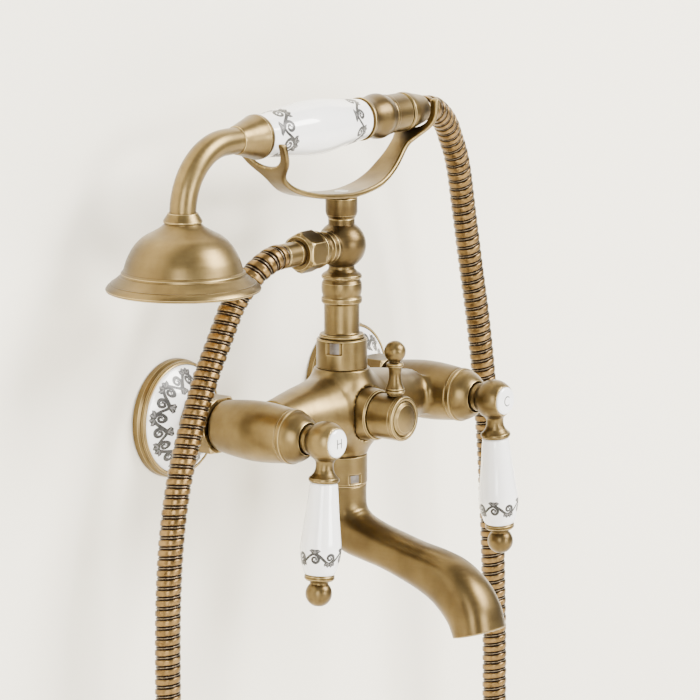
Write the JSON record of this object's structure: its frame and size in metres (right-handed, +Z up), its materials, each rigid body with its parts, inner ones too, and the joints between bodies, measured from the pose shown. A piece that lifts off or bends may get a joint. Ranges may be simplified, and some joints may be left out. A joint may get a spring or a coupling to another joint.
{
  "type": "wall mounted bath faucet",
  "caption": "Exposed wall bath and shower mixer in aged brass, with porcelain levers, a swivel spout, a diverter, and a hand shower with a metal hose resting in a cradle.",
  "frame": {"origin": "on the wall plane, midway between the axes of the hot and the cold inlet", "axes": "+Y into the wall along the inlets, +X to the right as seen from the room, +Z up"},
  "size_m": [0.3427, 0.1884, 0.6673],
  "materials": {
    "antique_brass": "brushed, aged",
    "plain_brass": "turned",
    "nozzle_brass": "satin",
    "hose_metal": "satin, ringed",
    "flange_porcelain": "gloss glaze",
    "lever_porcelain": "gloss glaze",
    "grip_porcelain": "gloss glaze",
    "button_porcelain": "gloss glaze",
    "steel": "satin",
    "black_rubber": "matt"
  },
  "bodies": {
    "root": {"union_left": "antique_brass", "union_right": "antique_brass", "flange_rim_left": "antique_brass", "flange_rim_right": "antique_brass", "flange_porcelain_left": "flange_porcelain", "flange_porcelain_right": "flange_porcelain", "union_nut_left": "antique_brass", "union_nut_right": "antique_brass", "union_washers": "black_rubber", "main_body": "antique_brass", "hot_cartridge": "plain_brass", "cold_cartridge": "plain_brass", "hot_bonnet": "antique_brass", "cold_bonnet": "antique_brass", "diverter_base_ring": "antique_brass", "diverter_cartridge": "plain_brass", "riser_collar": "antique_brass", "riser_post": "antique_brass", "cradle_post": "antique_brass", "cradle": "antique_brass", "cradle_screw": "steel", "hose_outlet_nipple": "antique_brass", "spout_nut": "antique_brass", "hose": "hose_metal", "hose_hex_nut": "antique_brass", "hose_sleeve_lower": "hose_metal", "hose_washer_lower": "black_rubber"},
    "hot_handle": {"hot_spindle": "plain_brass", "hot_handle_hub": "antique_brass", "hot_lever_rod": "steel", "hot_lever_porcelain": "lever_porcelain", "hot_lever_finial": "antique_brass", "hot_index_button": "button_porcelain", "hot_handle_screw": "steel"},
    "cold_handle": {"cold_spindle": "plain_brass", "cold_handle_hub": "antique_brass", "cold_lever_rod": "steel", "cold_lever_porcelain": "lever_porcelain", "cold_lever_finial": "antique_brass", "cold_index_button": "button_porcelain", "cold_handle_screw": "steel"},
    "diverter_handle": {"diverter_spindle": "plain_brass", "diverter_knob": "antique_brass", "diverter_cap": "antique_brass", "diverter_lever": "antique_brass"},
    "spout": {"spout": "antique_brass", "spout_shank": "plain_brass", "spout_o_rings": "black_rubber", "aerator": "nozzle_brass"},
    "handset": {"shower_bell": "antique_brass", "shower_faceplate": "nozzle_brass", "shower_gasket": "black_rubber", "shower_neck": "antique_brass", "grip_front_ferrule": "antique_brass", "grip_porcelain": "grip_porcelain", "grip_inner_tube": "steel", "grip_end_collar": "antique_brass", "hose_cone_nut": "antique_brass", "hose_washer_upper": "black_rubber", "hose_sleeve_upper": "hose_metal"}
  },
  "joints": [
    {"name": "hot_handle_turn", "type": "hinge", "parent": "root", "child": "hot_handle", "pos_m": [-0.075, -0.109, 0], "axis": [0, 1, 0], "range_deg": [0, 90]},
    {"name": "cold_handle_turn", "type": "hinge", "parent": "root", "child": "cold_handle", "pos_m": [0.075, -0.109, 0], "axis": [0, -1, 0], "range_deg": [0, 90]},
    {"name": "diverter_turn", "type": "hinge", "parent": "root", "child": "diverter_handle", "pos_m": [0, -0.0974, 0], "axis": [0, 1, 0], "range_deg": [0, 90]},
    {"name": "spout_swivel", "type": "hinge", "parent": "root", "child": "spout", "pos_m": [0, -0.06, -0.0418], "axis": [0, 0, 1], "range_deg": [-35, 35]},
    {"name": "handset_lift", "type": "slide", "parent": "root", "child": "handset", "axis": [0, 0, 1], "range_m": [0, 0.06]}
  ]
}
